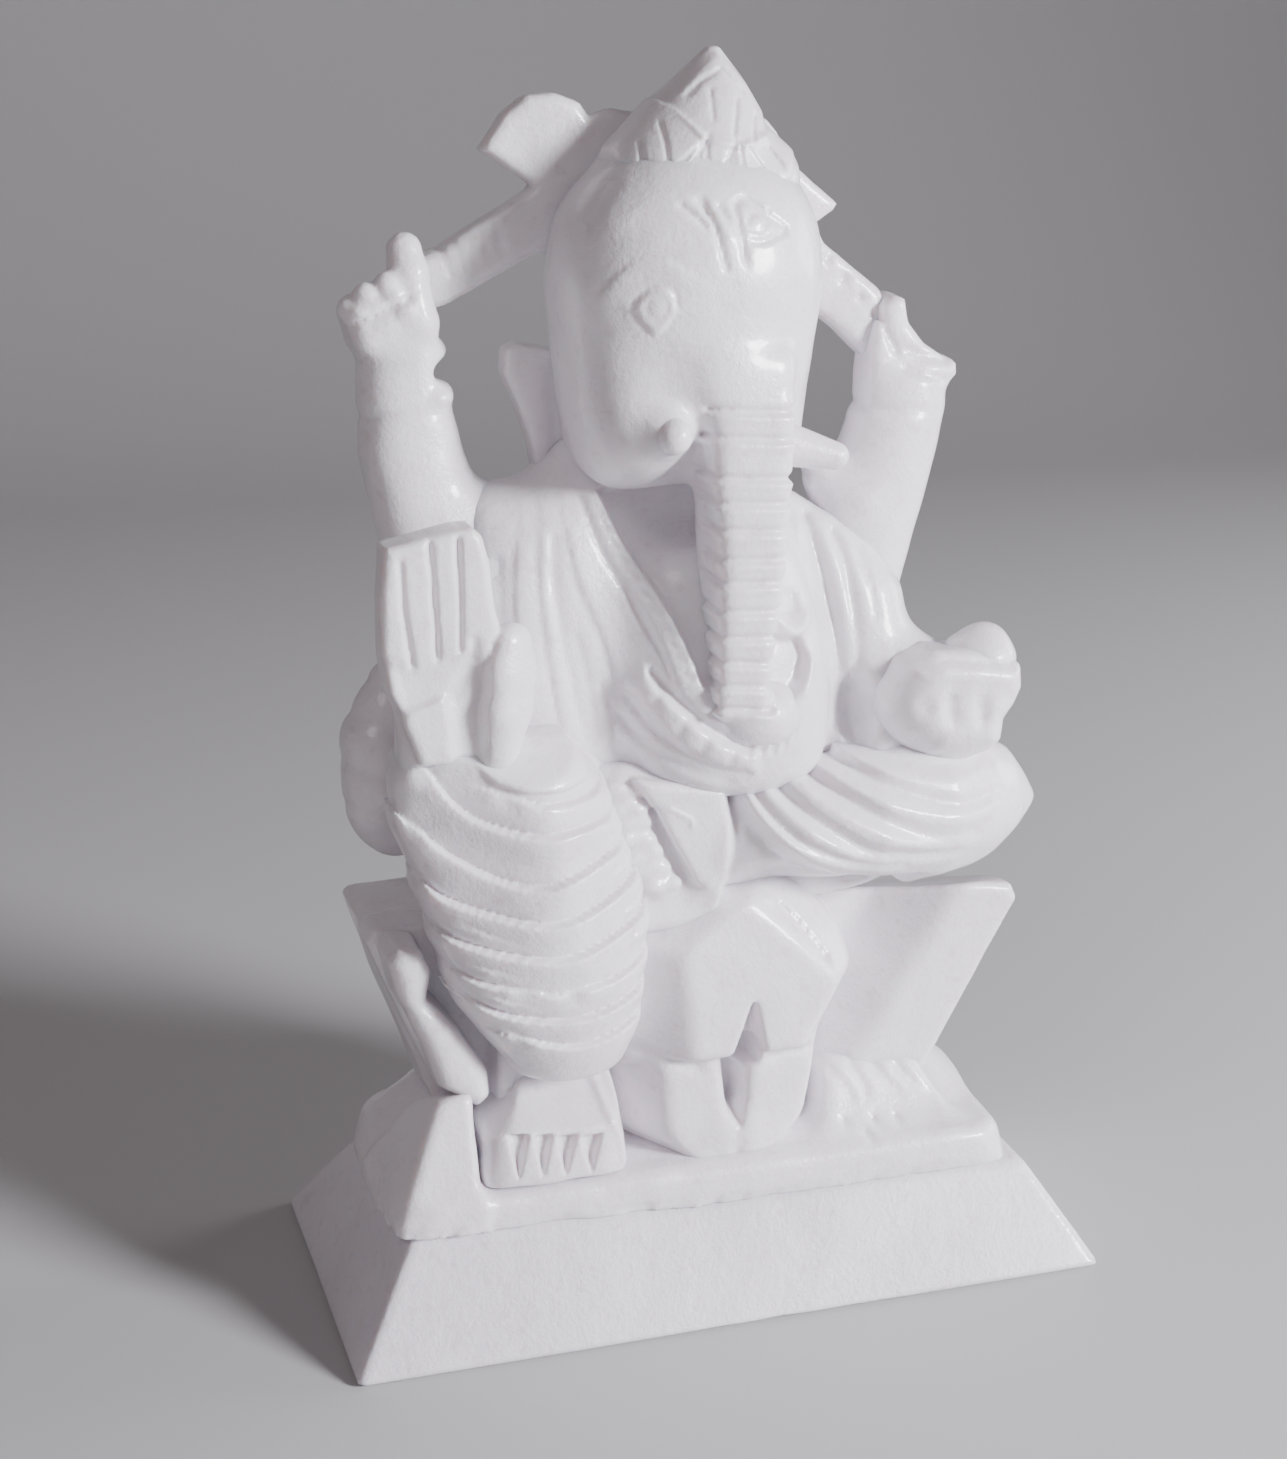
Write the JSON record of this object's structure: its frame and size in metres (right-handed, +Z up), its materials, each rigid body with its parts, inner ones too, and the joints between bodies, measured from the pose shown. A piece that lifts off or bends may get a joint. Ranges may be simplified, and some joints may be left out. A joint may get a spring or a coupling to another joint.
{
  "type": "ganesha idol",
  "caption": "Seated four-armed elephant-headed deity carved in polished white stone, on a throne above a bevelled plinth.",
  "frame": {"origin": "centre of the plinth's underside", "axes": "+Z up; -Y is the way the figure faces; +X is the figure's own left"},
  "size_m": [0.097, 0.048, 0.151],
  "materials": {
    "white_stone": "polished pale alabaster-like marble, faintly pink and translucent, with soft chisel marks"
  },
  "bodies": {
    "root": {"plinth": "white_stone", "rock_slab": "white_stone", "rock_step": "white_stone", "throne_seat": "white_stone", "throne_pillar_left": "white_stone", "throne_pillar_right": "white_stone", "hips": "white_stone", "torso": "white_stone", "belly": "white_stone", "bolster": "white_stone", "head": "white_stone", "trunk": "white_stone", "trunk_tip": "white_stone", "ear_right": "white_stone", "ear_left": "white_stone", "tusk_right": "white_stone", "tusk_left": "white_stone", "crown": "white_stone", "raised_arm_right": "white_stone", "shawl_right": "white_stone", "raised_arm_left": "white_stone", "shawl_left": "white_stone", "bracelet_right": "white_stone", "bracelet_left": "white_stone", "raised_hand_right": "white_stone", "pointing_finger_right": "white_stone", "raised_hand_left": "white_stone", "axe_handle": "white_stone", "axe_blade": "white_stone", "goad_handle": "white_stone", "goad_head": "white_stone", "folded_leg_left": "white_stone", "hanging_leg_right": "white_stone", "lap_cloth": "white_stone", "sash_tassel": "white_stone", "folded_foot_left": "white_stone", "blessing_forearm": "white_stone", "blessing_palm": "white_stone", "blessing_finger_1": "white_stone", "blessing_finger_2": "white_stone", "blessing_finger_3": "white_stone", "blessing_finger_4": "white_stone", "blessing_thumb": "white_stone", "offering_forearm": "white_stone", "offering_hand": "white_stone", "sweet_ball": "white_stone", "right_foot": "white_stone", "right_toe_1": "white_stone", "right_toe_2": "white_stone", "right_toe_3": "white_stone", "right_toe_4": "white_stone", "right_toe_5": "white_stone", "corner_mound": "white_stone", "throne_post": "white_stone", "mouse_back": "white_stone", "mouse_haunch_right": "white_stone", "mouse_haunch_left": "white_stone", "throne_paw_left": "white_stone"}
  },
  "joints": []
}
